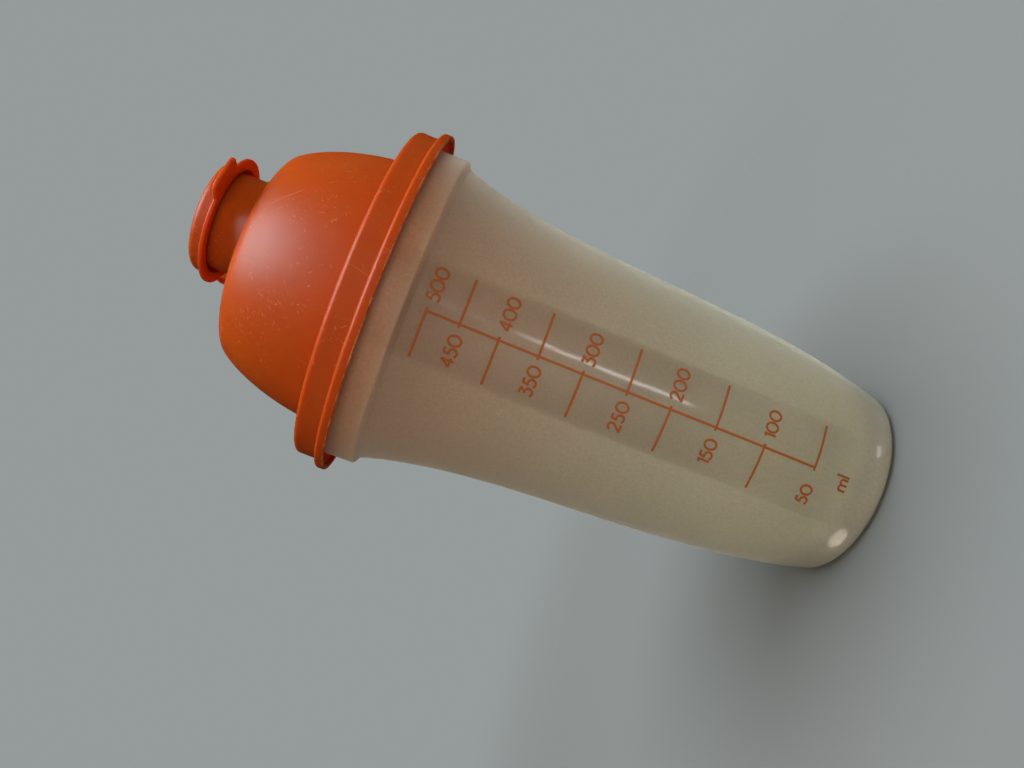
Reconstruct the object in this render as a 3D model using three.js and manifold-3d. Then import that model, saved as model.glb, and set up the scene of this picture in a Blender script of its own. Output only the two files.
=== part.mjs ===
// A mixing shaker: a tapering beaker, a mixing grid in its mouth, a press-on domed lid with a spout, and a flip cap.
// Millimetres. Z points up the beaker's axis from the table, and the spout and the cap's thumb tab are towards +X.
import * as THREE from 'three';
import { mergeVertices } from 'three/addons/utils/BufferGeometryUtils.js';
import Module from 'manifold-3d';

const wasm = await Module();
wasm.setup();

// Fits shared by several pieces
const SLIP = 0.4;                 // side gap of a piece that slides into another
const SEAT_GAP = 0.3;             // gap under a piece that rests on another
const SMALL_ROUND = 0.3;
const EDGE_ROUND = 0.6;

// Beaker
const WALL = 1.4;
const FLOOR = 2.2;
const FOOT_HEIGHT = 3.9;          // hollow under the floor
const FOOT_RADIUS = 27.8;         // where the wall's curve meets the table
const FOOT_WIDTH = 6.2;
const FOOT_SLOPE = 1.2;
const FOOT_ROUND = 3.0;
const FLOOR_ROUND = 8.5;          // round between floor and wall, inside
const WALL_HEIGHT = 138.8;        // where the wall steps out to the collar
const WALL_TOP_RADIUS = 44.6;
const WALL_LOW_PULL = [12.9, 46.2];      // bends the wall's curve, measured from its foot
const WALL_HIGH_PULL = [-11.7, -37.6];   // and from its top
const WALL_STEPS = 11;
const COLLAR_STEP = 2.15;         // how far the collar stands out from the wall
const COLLAR_RISE = 1.3;          // the step climbs a little on its way out
const COLLAR_HEIGHT = 14.4;
const STEP_ROUND = 0.8;
const RIM_BEAD = 0.8;             // how far the rim's bead stands out from the collar
const RIM_BEAD_HEIGHT = 1.6;
const RIM_BEAD_DROP = 1.2;        // from the rim's top down to the bead

// Lid
const LID_WALL = 1.3;
const SKIRT_HEIGHT = 9.3;         // from the lip's lower edge to the skirt's flat top
const SKIRT_ROUND = 1.3;
const LIP_OUT = 2.15;             // how far the lip stands out from the skirt
const LIP_HEIGHT = 2.6;
const LIP_ROUND = 0.9;
const LIP_WALL = 1.2;
const PLUG_GAP = 1.6;             // under the sealing ring that hangs in the beaker's mouth, to the grid
const DOME_SETBACK = 9.35;        // from the skirt's side in to the dome's foot
const DOME_HEIGHT = 32.1;
// The dome's curve, each point measured in and up from the dome's foot
const DOME_LOW_PULL = [-0.6, 7.9];
const DOME_HIGH_PULL = [-3.4, 19.9];
const SHOULDER_START = [-8.3, 27.3];
const SHOULDER_LOW_PULL = [-9.5, 29.2];
const SHOULDER_HIGH_PULL = [-10.9, 30.4];
const SHOULDER_END = [-15.9, 31.2];
const CROWN_PULL = -21.7;         // where the crown has become level
const DOME_STEPS = 7;
const SHOULDER_STEPS = 5;
const CROWN_STEPS = 3;

// Spout neck, on its own axis
const SPOUT_OFFSET = 10.6;
const NECK_RADIUS = 13.9;
const NECK_WALL = 1.5;
const NECK_BEAD = 0.6;
const NECK_BEAD_DROP = 1.2;       // from the neck's top down to its bead
const NECK_FLARE = 1.5;           // round where the neck grows out of the dome
const NECK_FLARE_WAIST = 0.5;     // what is left of it halfway
const NECK_TOP_GAP = 0.5;

// Flip cap
const CAP_RISE = 7.0;             // from the dome's crown up to the cap
const CAP_HEIGHT = 5.2;
const CAP_WALL = 0.9;
const CAP_ROOF = 1.2;
const CAP_ROUND = 1.7;
const FLANGE_OUT = 2.2;
const FLANGE_THICK = 1.0;
const STOPPER_GAP = 0.7;          // between the cap's inner ring and the spout's bore
const STOPPER_TAPER = 0.4;
const STOPPER_WALL = 1.0;
const STOPPER_DEPTH = 3.0;
const TAB_OUT = 4.0;              // how far the thumb tab stands out from the flange
const TAB_HALF_WIDTH = 5.9;
const TAB_THICK = 1.1;
const TAB_ROUND = 2.3;

// Hinge of the cap, behind the spout
const HINGE_OUT = 1.6;            // from the flange's edge back to the hinge line
const HINGE_LIFT = 0.65;          // from the flange's underside up to the hinge line
const KNUCKLE_RADIUS = 1.9;
const KNUCKLE_HALF = 5.4;
const STUB_RADIUS = 1.0;
const STUB_GAP = 0.3;
const POST_THICK = 2.3;
const POST_MARGIN = 0.2;          // how much the post is wider than the knuckle, each way
const POST_FLAT = 0.05;           // flat left on top of the post, each way
const POST_SPREAD = 1.2;          // how far the post's foot widens

// Mixing grid
const GRID_RIM_HEIGHT = 4.4;
const GRID_RIM_WALL = 1.7;
const GRID_BAR = 1.5;
const GRID_BAR_HEIGHT = 3.2;
const GRID_RINGS = 2;             // evenly between hub and rim
const GRID_HUB_RADIUS = 8.0;
const GRID_HUB_HEIGHT = 4.4;
const GRID_SPOKES = 10;

// Plastics
const FROSTED_COLOUR = 0xc9bfa4;
const FROSTED_ROUGHNESS = 0.45;
const ORANGE_COLOUR = 0xbf4a16;
const ORANGE_ROUGHNESS = 0.4;

const TURN_SIDES = 64;
const SPOUT_SIDES = 48;
const PIN_SIDES = 24;
const ROUND_STEP = Math.PI / 6;   // widest turn between two points of a round corner

// Heights and radii where one piece fits another
const collarRadius = WALL_TOP_RADIUS + COLLAR_STEP;
const collarBottom = WALL_HEIGHT + COLLAR_RISE;
const rimTop = collarBottom + COLLAR_HEIGHT;
const rimBeadRadius = collarRadius + RIM_BEAD;
const mouthRadius = collarRadius - WALL;
const ledgeHeight = collarBottom + WALL;
const gridBottom = ledgeHeight + SEAT_GAP;
const gridTop = gridBottom + GRID_RIM_HEIGHT;
const gridRadius = mouthRadius - SLIP;
const plateUnderside = rimTop + SEAT_GAP;
const skirtTop = plateUnderside + LID_WALL;
const skirtInside = rimBeadRadius + SLIP;
const skirtRadius = skirtInside + LID_WALL;
const plugRadius = mouthRadius - SLIP;
const plugBottom = gridTop + PLUG_GAP;
const domeFoot = [skirtRadius - DOME_SETBACK, skirtTop];
const crownTop = skirtTop + DOME_HEIGHT;
const boreRadius = NECK_RADIUS - NECK_WALL;
const flangeBottom = crownTop + CAP_RISE;
const flangeTop = flangeBottom + FLANGE_THICK;
const capTop = flangeBottom + CAP_HEIGHT;
const roofUnderside = capTop - CAP_ROOF;
const neckTop = roofUnderside - NECK_TOP_GAP;
const capInside = NECK_RADIUS + NECK_BEAD + SLIP;
const capRadius = capInside + CAP_WALL;
const flangeRadius = capRadius + FLANGE_OUT;
const hingeReach = flangeRadius + HINGE_OUT;
const hingeX = SPOUT_OFFSET - hingeReach;
const hingeHeight = flangeBottom + HINGE_LIFT;
const postHalf = KNUCKLE_RADIUS + POST_MARGIN;
const postInner = KNUCKLE_HALF + SLIP;

const bezier = (points, steps) => {
  const [a, b, c, d] = points.map((point) => new THREE.Vector2(...point));
  return new THREE.CubicBezierCurve(a, b, c, d).getPoints(steps).map((point) => [point.x, point.y]);
};

const from = ([x, y], [dx, dy]) => [x + dx, y + dy];

// Moves an open run of points sideways, to the left of the way it runs.
function offsetLeft(run, distance) {
  return run.map(([x, y], i) => {
    const before = run[Math.max(i - 1, 0)];
    const after = run[Math.min(i + 1, run.length - 1)];
    const along = new THREE.Vector2(after[0] - before[0], after[1] - before[1]).normalize();
    return [x - along.y * distance, y + along.x * distance];
  });
}

// Gives every corner of a closed outline that has a third value, its radius, a round of that radius.
function withRounds(corners) {
  const outline = [];
  corners.forEach(([x, y, radius = 0], i) => {
    if (radius === 0) {
      outline.push([x, y]);
      return;
    }
    const corner = new THREE.Vector2(x, y);
    const last = corners[(i + corners.length - 1) % corners.length];
    const next = corners[(i + 1) % corners.length];
    const back = new THREE.Vector2(last[0] - x, last[1] - y).normalize();
    const ahead = new THREE.Vector2(next[0] - x, next[1] - y).normalize();
    const half = Math.acos(back.dot(ahead)) / 2;
    const inward = back.clone().add(ahead).normalize();
    const centre = corner.clone().addScaledVector(inward, radius / Math.sin(half));
    const start = corner.clone().addScaledVector(back, radius / Math.tan(half)).sub(centre);
    const sweep = Math.sign(back.cross(ahead)) * (2 * half - Math.PI);
    const steps = Math.max(1, Math.ceil(Math.abs(sweep) / ROUND_STEP));
    for (let k = 0; k <= steps; k += 1) {
      const spoke = start.clone().rotateAround(new THREE.Vector2(), (sweep * k) / steps);
      outline.push([centre.x + spoke.x, centre.y + spoke.y]);
    }
  });
  return outline;
}

// Makes a solid of a closed surface, turned right side out.
function solid(surface) {
  surface.deleteAttribute('normal');
  surface.deleteAttribute('uv');
  const merged = mergeVertices(surface);
  const place = merged.getAttribute('position').array;
  const index = merged.index.array;
  const triangles = [];
  let volume = 0;
  for (let i = 0; i < index.length; i += 3) {
    const [a, b, c] = index.slice(i, i + 3);
    if (a === b || b === c || c === a) continue;
    triangles.push([a, b, c]);
    const [p, q, r] = [a, b, c].map((k) => new THREE.Vector3().fromArray(place, 3 * k));
    volume += p.dot(q.cross(r));
  }
  const facing = volume < 0 ? triangles.map(([a, b, c]) => [a, c, b]) : triangles;
  const triVerts = new Uint32Array(facing.flat());
  return new wasm.Manifold(new wasm.Mesh({ numProp: 3, vertProperties: new Float32Array(place), triVerts }));
}

function turned(corners, sides, axisX = 0) {
  const outline = withRounds(corners).map(([radius, height]) => new THREE.Vector2(radius, height));
  const surface = new THREE.LatheGeometry([...outline, outline[0].clone()], sides);
  surface.rotateX(Math.PI / 2);
  surface.translate(axisX, 0, 0);
  return solid(surface);
}

function plate(corners, thickness) {
  const outline = new THREE.Shape(withRounds(corners).map((point) => new THREE.Vector2(...point)));
  return new THREE.ExtrudeGeometry(outline, { depth: thickness, bevelEnabled: false });
}

function ring(outer, wall, bottom, height) {
  const top = bottom + height;
  return turned([[outer - wall, bottom], [outer, bottom], [outer, top], [outer - wall, top]], TURN_SIDES);
}

function pin(radius, start, end) {
  const surface = new THREE.CylinderGeometry(radius, radius, end - start, PIN_SIDES);
  surface.translate(hingeX, (start + end) / 2, hingeHeight);
  return solid(surface);
}

function makeBeaker() {
  const foot = [FOOT_RADIUS, 0];
  const top = [WALL_TOP_RADIUS, WALL_HEIGHT];
  const wall = bezier([foot, from(foot, WALL_LOW_PULL), from(top, WALL_HIGH_PULL), top], WALL_STEPS);
  const inside = offsetLeft(wall, WALL).reverse();
  const floorTop = FOOT_HEIGHT + FLOOR;
  // The inside wall is kept down to where the floor's round begins.
  const insideKept = inside.filter(([, height]) => height > floorTop + FLOOR_ROUND);
  const [upper, lower] = insideKept.slice(-2);
  const lean = (upper[0] - lower[0]) / (upper[1] - lower[1]);
  const floorRadius = lower[0] - lean * (lower[1] - floorTop);
  const footInner = FOOT_RADIUS - FOOT_WIDTH;
  const beadTop = rimTop - RIM_BEAD_DROP;
  return turned([
    [0, FOOT_HEIGHT],
    [footInner - FOOT_SLOPE, FOOT_HEIGHT, EDGE_ROUND],
    [footInner, 0, EDGE_ROUND],
    [...foot, FOOT_ROUND],
    ...wall.slice(1, -1),
    [...top, STEP_ROUND],
    [collarRadius, collarBottom, STEP_ROUND],
    [collarRadius, beadTop - RIM_BEAD_HEIGHT],
    [rimBeadRadius, beadTop - RIM_BEAD_HEIGHT / 2],
    [rimBeadRadius, beadTop],
    [rimBeadRadius - EDGE_ROUND, rimTop],
    [mouthRadius, rimTop, EDGE_ROUND],
    [mouthRadius, ledgeHeight, EDGE_ROUND],
    [...insideKept[0], EDGE_ROUND],
    ...insideKept.slice(1),
    [floorRadius, floorTop, FLOOR_ROUND],
    [0, floorTop],
  ], TURN_SIDES);
}

function makeLid() {
  const shoulderStart = from(domeFoot, SHOULDER_START);
  const shoulderEnd = from(domeFoot, SHOULDER_END);
  const crownPull = [domeFoot[0] + CROWN_PULL, crownTop];
  const dome = bezier(
    [domeFoot, from(domeFoot, DOME_LOW_PULL), from(domeFoot, DOME_HIGH_PULL), shoulderStart],
    DOME_STEPS,
  );
  const shoulder = bezier(
    [shoulderStart, from(domeFoot, SHOULDER_LOW_PULL), from(domeFoot, SHOULDER_HIGH_PULL), shoulderEnd],
    SHOULDER_STEPS,
  );
  const crown = bezier([shoulderEnd, crownPull, crownPull, [0, crownTop]], CROWN_STEPS);
  const outside = [...dome, ...shoulder.slice(1), ...crown.slice(1)];
  const inside = offsetLeft(outside, LID_WALL).reverse();
  inside[0] = [0, crownTop - LID_WALL];
  inside[inside.length - 1] = [domeFoot[0] - LID_WALL, plateUnderside];
  const lipBottom = skirtTop - SKIRT_HEIGHT;
  const lipTop = lipBottom + LIP_HEIGHT;
  const lipRadius = skirtRadius + LIP_OUT;
  const lipInside = lipRadius - LIP_WALL;
  const shell = turned([
    ...outside.slice(1),
    ...inside,
    [plugRadius - LID_WALL, plateUnderside],
    [plugRadius - LID_WALL, plugBottom],
    [plugRadius - EDGE_ROUND, plugBottom],
    [plugRadius, plugBottom + 2 * EDGE_ROUND],
    [plugRadius, plateUnderside],
    [skirtInside, plateUnderside],
    [skirtInside, lipTop + EDGE_ROUND],
    [lipInside, lipTop - LIP_WALL],
    [lipInside, lipBottom],
    [lipRadius, lipBottom, SMALL_ROUND],
    [lipRadius, lipTop, LIP_ROUND],
    [skirtRadius, lipTop, SMALL_ROUND],
    [skirtRadius, skirtTop, SKIRT_ROUND],
    [...domeFoot, EDGE_ROUND],
  ], TURN_SIDES);

  const neckFoot = crownTop - LID_WALL;
  const beadMiddle = neckTop - NECK_BEAD_DROP;
  const neck = turned([
    [0, neckFoot],
    [NECK_RADIUS + NECK_FLARE, neckFoot],
    [NECK_RADIUS + NECK_FLARE_WAIST, crownTop + NECK_FLARE_WAIST],
    [NECK_RADIUS, crownTop + NECK_FLARE],
    [NECK_RADIUS, beadMiddle - NECK_BEAD],
    [NECK_RADIUS + NECK_BEAD, beadMiddle],
    [NECK_RADIUS, neckTop - SMALL_ROUND],
    [NECK_RADIUS - SMALL_ROUND, neckTop],
    [0, neckTop],
  ], SPOUT_SIDES, SPOUT_OFFSET);
  const bore = turned([
    [0, shoulderStart[1]],
    [boreRadius, shoulderStart[1]],
    [boreRadius, capTop],
    [0, capTop],
  ], SPOUT_SIDES, SPOUT_OFFSET);

  let lid = shell.add(neck).subtract(bore);
  for (const side of [-1, 1]) {
    lid = lid.add(makePost(side));
  }
  return lid.subtract(pin(STUB_RADIUS + STUB_GAP, -hingeReach, hingeReach));
}

// One of the two posts that hold the cap's hinge, rounded over the top and wider at its foot.
function makePost(side) {
  const foot = crownTop - LID_WALL / 2;
  const waist = foot + 2 * POST_SPREAD;
  const top = hingeHeight + postHalf;
  const topRound = postHalf - POST_FLAT;
  const postOuter = postInner + POST_THICK;
  const sideView = plate([
    [-postHalf - POST_SPREAD, foot],
    [postHalf + POST_SPREAD, foot],
    [postHalf, waist, POST_SPREAD],
    [postHalf, top, topRound],
    [-postHalf, top, topRound],
    [-postHalf, waist, POST_SPREAD],
  ], 2 * (postOuter + POST_SPREAD));
  sideView.rotateX(Math.PI / 2);
  sideView.translate(hingeX, postOuter + POST_SPREAD, 0);
  const endView = plate([
    [postInner, foot],
    [postOuter + POST_SPREAD, foot],
    [postOuter, waist, POST_SPREAD],
    [postOuter, top],
    [postInner, top],
  ], 2 * (postHalf + POST_SPREAD));
  endView.rotateX(Math.PI / 2);
  endView.rotateZ(Math.PI / 2);
  endView.translate(hingeX - postHalf - POST_SPREAD, 0, 0);
  endView.scale(1, side, 1);
  return solid(sideView).intersect(solid(endView));
}

function makeCap() {
  const stopperRadius = boreRadius - STOPPER_GAP;
  const stopperBottom = roofUnderside - STOPPER_DEPTH;
  const shell = turned([
    [0, capTop],
    [capRadius, capTop, CAP_ROUND],
    [capRadius, flangeTop, SMALL_ROUND],
    [flangeRadius, flangeTop, SMALL_ROUND],
    [flangeRadius, flangeBottom, SMALL_ROUND],
    [capInside, flangeBottom, SMALL_ROUND],
    [capInside, roofUnderside, SMALL_ROUND],
    [stopperRadius, roofUnderside],
    [stopperRadius - STOPPER_TAPER, stopperBottom],
    [stopperRadius - STOPPER_WALL, stopperBottom],
    [stopperRadius - STOPPER_WALL, roofUnderside],
    [0, roofUnderside],
  ], SPOUT_SIDES, SPOUT_OFFSET);

  const tabRoot = capRadius - CAP_WALL / 2;
  const tabEnd = flangeRadius + TAB_OUT;
  const tab = plate([
    [tabRoot, -TAB_HALF_WIDTH],
    [tabEnd, -TAB_HALF_WIDTH, TAB_ROUND],
    [tabEnd, TAB_HALF_WIDTH, TAB_ROUND],
    [tabRoot, TAB_HALF_WIDTH],
  ], TAB_THICK);
  tab.translate(SPOUT_OFFSET, 0, flangeBottom);

  const leafEnd = SPOUT_OFFSET - capRadius;
  const leaf = new THREE.BoxGeometry(leafEnd - hingeX, 2 * KNUCKLE_HALF, FLANGE_THICK);
  leaf.translate((leafEnd + hingeX) / 2, 0, flangeBottom + FLANGE_THICK / 2);
  const stubHalf = postInner + POST_THICK - SLIP;
  return shell
    .add(solid(tab))
    .add(solid(leaf))
    .add(pin(KNUCKLE_RADIUS, -KNUCKLE_HALF, KNUCKLE_HALF))
    .add(pin(STUB_RADIUS, -stubHalf, stubHalf));
}

function makeGrid() {
  let grid = turned([
    [gridRadius - GRID_RIM_WALL, gridBottom],
    [gridRadius - EDGE_ROUND, gridBottom],
    [gridRadius, gridBottom + EDGE_ROUND],
    [gridRadius, gridTop, SMALL_ROUND],
    [gridRadius - GRID_RIM_WALL, gridTop, SMALL_ROUND],
  ], TURN_SIDES);
  const pitch = (gridRadius - GRID_HUB_RADIUS) / (GRID_RINGS + 1);
  for (let k = 1; k <= GRID_RINGS; k += 1) {
    grid = grid.add(ring(GRID_HUB_RADIUS + k * pitch, GRID_BAR, gridBottom, GRID_BAR_HEIGHT));
  }
  grid = grid.add(ring(GRID_HUB_RADIUS, 2 * GRID_BAR, gridBottom, GRID_HUB_HEIGHT));
  const spokeStart = GRID_HUB_RADIUS - GRID_BAR;
  const spokeLength = gridRadius - GRID_RIM_WALL / 2 - spokeStart;
  for (let k = 0; k < GRID_SPOKES; k += 1) {
    const spoke = new THREE.BoxGeometry(spokeLength, GRID_BAR, GRID_BAR_HEIGHT);
    spoke.translate(spokeStart + spokeLength / 2, 0, gridBottom + GRID_BAR_HEIGHT / 2);
    spoke.rotateZ((2 * Math.PI * k) / GRID_SPOKES);
    grid = grid.add(solid(spoke));
  }
  return grid;
}

const shaker = new THREE.Group();
shaker.name = 'mixing_shaker';

function addPiece(name, body, colour, roughness) {
  const cut = body.getMesh();
  const surface = new THREE.BufferGeometry();
  surface.setAttribute('position', new THREE.BufferAttribute(new Float32Array(cut.vertProperties), 3));
  surface.setIndex(new THREE.BufferAttribute(new Uint32Array(cut.triVerts), 1));
  surface.computeVertexNormals();
  const look = new THREE.MeshStandardMaterial({ color: colour, roughness, metalness: 0 });
  const piece = new THREE.Mesh(surface, look);
  piece.name = name;
  shaker.add(piece);
}

addPiece('beaker', makeBeaker(), FROSTED_COLOUR, FROSTED_ROUGHNESS);
addPiece('mixing_grid', makeGrid(), ORANGE_COLOUR, ORANGE_ROUGHNESS);
addPiece('lid', makeLid(), ORANGE_COLOUR, ORANGE_ROUGHNESS);
addPiece('flip_cap', makeCap(), ORANGE_COLOUR, ORANGE_ROUGHNESS);

export default shaker;
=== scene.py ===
import math

import bmesh
import bpy
from mathutils import Matrix, Vector
from mathutils.geometry import interpolate_bezier


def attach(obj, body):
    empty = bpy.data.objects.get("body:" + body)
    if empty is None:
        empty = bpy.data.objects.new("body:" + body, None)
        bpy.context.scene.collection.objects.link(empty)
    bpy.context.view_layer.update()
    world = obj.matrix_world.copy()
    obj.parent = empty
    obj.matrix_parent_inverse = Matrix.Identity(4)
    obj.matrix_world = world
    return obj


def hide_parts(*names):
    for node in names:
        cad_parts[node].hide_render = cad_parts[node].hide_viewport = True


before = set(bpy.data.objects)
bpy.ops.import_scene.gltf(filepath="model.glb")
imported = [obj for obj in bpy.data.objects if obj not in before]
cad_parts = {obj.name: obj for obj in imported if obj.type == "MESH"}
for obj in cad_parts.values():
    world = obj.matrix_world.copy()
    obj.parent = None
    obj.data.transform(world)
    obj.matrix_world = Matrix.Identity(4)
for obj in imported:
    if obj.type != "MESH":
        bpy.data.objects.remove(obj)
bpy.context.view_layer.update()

# The looks of a mixing shaker: a frosted beaker with a printed millilitre scale, an orange lid with its
# flip cap, and a mixing grid. Z points up the beaker's axis, and the spout and the thumb tab are towards +X.

MM = 0.001

# Sizes in millimetres, as the solids have them

# Fits and rounds shared by several pieces
SLIP = 0.4                        # side gap of a piece that slides into another
SEAT_GAP = 0.3                    # gap under a piece that rests on another
SMALL_ROUND = 0.3
EDGE_ROUND = 0.6
BAR_EDGE = 0.25                   # eased edges of the hinge posts and the grid's spokes

# Beaker
WALL = 1.4
FLOOR_THICK = 2.2
FOOT_HEIGHT = 3.9                 # hollow under the floor
FOOT_RADIUS = 27.8                # where the wall's curve meets the table
FOOT_WIDTH = 6.2
FOOT_SLOPE = 1.2
FOOT_ROUND = 3.0
FLOOR_ROUND = 8.5                 # round between floor and wall, inside
WALL_HEIGHT = 138.8               # where the wall steps out to the collar
WALL_TOP_RADIUS = 44.6
WALL_LOW_PULL = (12.9, 46.2)      # bends the wall's curve, measured from its foot
WALL_HIGH_PULL = (-11.7, -37.6)   # and from its top
WALL_POINTS = 48
COLLAR_STEP = 2.15                # how far the collar stands out from the wall
COLLAR_RISE = 1.3                 # the step climbs a little on its way out
COLLAR_HEIGHT = 14.4
STEP_ROUND = 0.8
RIM_BEAD = 0.8                    # how far the rim's bead stands out from the collar
RIM_BEAD_HEIGHT = 1.6
RIM_BEAD_DROP = 1.2               # from the rim's top down to the bead

# Lid
LID_WALL = 1.3
SKIRT_HEIGHT = 9.3                # from the lip's lower edge to the skirt's flat top
SKIRT_ROUND = 1.3
LIP_OUT = 2.15                    # how far the lip stands out from the skirt
LIP_HEIGHT = 2.6
LIP_ROUND = 0.9
LIP_WALL = 1.2
PLUG_GAP = 1.6                    # under the sealing ring that hangs in the beaker's mouth, to the grid
DOME_SETBACK = 9.35               # from the skirt's side in to the dome's foot
DOME_HEIGHT = 32.1
# The dome's curve, each point measured in and up from the dome's foot
DOME_LOW_PULL = (-0.6, 7.9)
DOME_HIGH_PULL = (-3.4, 19.9)
SHOULDER_START = (-8.3, 27.3)
SHOULDER_LOW_PULL = (-9.5, 29.2)
SHOULDER_HIGH_PULL = (-10.9, 30.4)
SHOULDER_END = (-15.9, 31.2)
CROWN_PULL = -21.7                # where the crown has become level
DOME_POINTS = 28
SHOULDER_POINTS = 16
CROWN_POINTS = 12

# Spout neck, on its own axis
SPOUT_X = 10.6
NECK_RADIUS = 13.9
NECK_WALL = 1.5
NECK_BEAD = 0.6
NECK_BEAD_DROP = 1.2              # from the neck's top down to its bead
NECK_FLARE = 1.5                  # where the neck grows out of the dome
NECK_FLARE_WAIST = 0.5            # what is left of it halfway
NECK_FLARE_ROUND = 0.9
NECK_TOP_GAP = 0.5

# Flip cap
CAP_RISE = 7.0                    # from the dome's crown up to the cap
CAP_HEIGHT = 5.2
CAP_WALL = 0.9
CAP_ROOF = 1.2
CAP_ROUND = 1.7
FLANGE_OUT = 2.2
FLANGE_THICK = 1.0
STOPPER_GAP = 0.7                 # between the cap's inner ring and the spout's bore
STOPPER_TAPER = 0.4
STOPPER_WALL = 1.0
STOPPER_DEPTH = 3.0
TAB_OUT = 4.0                     # how far the thumb tab stands out from the flange
TAB_HALF_WIDTH = 5.9
TAB_THICK = 1.1
TAB_ROUND = 2.3

# Hinge of the cap, behind the spout
HINGE_OUT = 1.6                   # from the flange's edge back to the hinge line
HINGE_LIFT = 0.65                 # from the flange's underside up to the hinge line
KNUCKLE_RADIUS = 1.9
KNUCKLE_HALF = 5.4
STUB_RADIUS = 1.0
STUB_GAP = 0.3
LEAF_EDGE = 0.15
POST_THICK = 2.3
POST_MARGIN = 0.2                 # how much the post is wider than the knuckle, each way
POST_FLAT = 0.05                  # flat left on top of the post, each way
POST_SPREAD = 1.2                 # how far the post's foot widens

# Mixing grid
GRID_RIM_HEIGHT = 4.4
GRID_RIM_WALL = 1.7
GRID_BAR = 1.5
GRID_BAR_HEIGHT = 3.2
GRID_BAR_ROUND = 0.2              # along the lower edges of its rings
GRID_RINGS = 2                    # evenly between hub and rim
GRID_HUB_RADIUS = 8.0
GRID_HUB_HEIGHT = 4.4
GRID_SPOKES = 10

# Heights and radii where one piece fits another
FLOOR_TOP = FOOT_HEIGHT + FLOOR_THICK
WALL_FOOT = (FOOT_RADIUS, 0.0)
WALL_TOP = (WALL_TOP_RADIUS, WALL_HEIGHT)
COLLAR_RADIUS = WALL_TOP_RADIUS + COLLAR_STEP
COLLAR_BOTTOM = WALL_HEIGHT + COLLAR_RISE
RIM_TOP = COLLAR_BOTTOM + COLLAR_HEIGHT
RIM_RADIUS = COLLAR_RADIUS + RIM_BEAD
MOUTH_RADIUS = COLLAR_RADIUS - WALL
LEDGE = COLLAR_BOTTOM + WALL
GRID_BOTTOM = LEDGE + SEAT_GAP
GRID_TOP = GRID_BOTTOM + GRID_RIM_HEIGHT
GRID_RADIUS = MOUTH_RADIUS - SLIP
PLATE_UNDERSIDE = RIM_TOP + SEAT_GAP
SKIRT_TOP = PLATE_UNDERSIDE + LID_WALL
SKIRT_INSIDE = RIM_RADIUS + SLIP
SKIRT_RADIUS = SKIRT_INSIDE + LID_WALL
LIP_BOTTOM = SKIRT_TOP - SKIRT_HEIGHT
LIP_TOP = LIP_BOTTOM + LIP_HEIGHT
LIP_RADIUS = SKIRT_RADIUS + LIP_OUT
PLUG_RADIUS = MOUTH_RADIUS - SLIP
PLUG_BOTTOM = GRID_TOP + PLUG_GAP
DOME_FOOT = (SKIRT_RADIUS - DOME_SETBACK, SKIRT_TOP)
CROWN_TOP = SKIRT_TOP + DOME_HEIGHT
BORE_RADIUS = NECK_RADIUS - NECK_WALL
FLANGE_BOTTOM = CROWN_TOP + CAP_RISE
FLANGE_TOP = FLANGE_BOTTOM + FLANGE_THICK
CAP_TOP = FLANGE_BOTTOM + CAP_HEIGHT
ROOF_UNDERSIDE = CAP_TOP - CAP_ROOF
NECK_TOP = ROOF_UNDERSIDE - NECK_TOP_GAP
CAP_INSIDE = NECK_RADIUS + NECK_BEAD + SLIP
CAP_RADIUS = CAP_INSIDE + CAP_WALL
FLANGE_RADIUS = CAP_RADIUS + FLANGE_OUT
HINGE_REACH = FLANGE_RADIUS + HINGE_OUT
HINGE_X = SPOUT_X - HINGE_REACH
HINGE_Z = FLANGE_BOTTOM + HINGE_LIFT
POST_HALF = KNUCKLE_RADIUS + POST_MARGIN
POST_INNER = KNUCKLE_HALF + SLIP

# The scale's line runs straight up the wall, at this turn about the axis from the -Y side.
SCALE_AZIMUTH = math.radians(62.7)

# How finely the pieces are drawn
TURN_STEPS = 192
SPOUT_STEPS = 96
ROD_STEPS = 48
STUB_STEPS = 32
ROUND_SEGMENTS = 6
EDGE_SEGMENTS = 2
MERGE = 0.001 * MM                # points nearer than this are one
SLIVER = 0.003 * MM               # shorter edges are left by a cut and are taken out
SHARP = 38                        # degrees between faces that meet in a sharp edge
INK_SHARP = 80
RIM_TURN = 1.2                    # radians between a plate's face and its side


def beside(point, offset):
    """A (radius, height) point moved by an offset."""
    return (point[0] + offset[0], point[1] + offset[1])


def curve(start, pull_a, pull_b, end, count):
    """Points of a Bezier curve in the (radius, height) plane."""
    points = interpolate_bezier(*(Vector((*p, 0)) for p in (start, pull_a, pull_b, end)), count)
    return [(p.x, p.y) for p in points]


def set_in(points, distance):
    """The same run of points, moved to the left of the way it runs."""
    moved = []
    for i, point in enumerate(points):
        before = Vector(points[max(i - 1, 0)])
        after = Vector(points[min(i + 1, len(points) - 1)])
        along = (after - before).normalized()
        moved.append((point[0] - along.y * distance, point[1] + along.x * distance))
    return moved


WALL_CURVE = curve(WALL_FOOT, beside(WALL_FOOT, WALL_LOW_PULL), beside(WALL_TOP, WALL_HIGH_PULL), WALL_TOP,
                   WALL_POINTS)


def wall_radius(height):
    """The beaker's outside radius at a height, in millimetres."""
    for (r0, z0), (r1, z1) in zip(WALL_CURVE, WALL_CURVE[1:]):
        if height <= z1:
            return r0 + (r1 - r0) * (height - z0) / (z1 - z0)
    return WALL_TOP_RADIUS


# Shapes

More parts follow.
